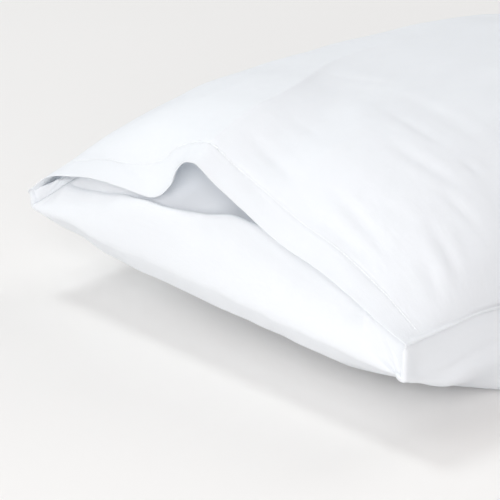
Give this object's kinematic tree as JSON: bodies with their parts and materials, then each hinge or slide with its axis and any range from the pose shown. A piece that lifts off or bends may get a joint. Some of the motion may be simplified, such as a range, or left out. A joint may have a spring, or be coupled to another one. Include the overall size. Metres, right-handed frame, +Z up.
{
  "type": "pillowcase",
  "caption": "White cotton pillowcase lying filled out, with a hemmed mouth lifted in a wave, a folded-in inner flap and sewn sides and end. Hollow, to take a pillow.",
  "frame": {"origin": "on the surface that the case lies on, in the middle of its length and width", "axes": "+Y from the mouth to the closed end, +X to the right seen from the mouth, +Z up"},
  "size_m": [0.4634, 0.7472, 0.2012],
  "materials": {
    "top_cotton": "plain white woven cotton, matt, lightly creased",
    "bottom_cotton": "plain white woven cotton, matt, smooth over the flap"
  },
  "bodies": {
    "root": {"top_panel": "top_cotton", "bottom_panel": "bottom_cotton"}
  },
  "joints": []
}
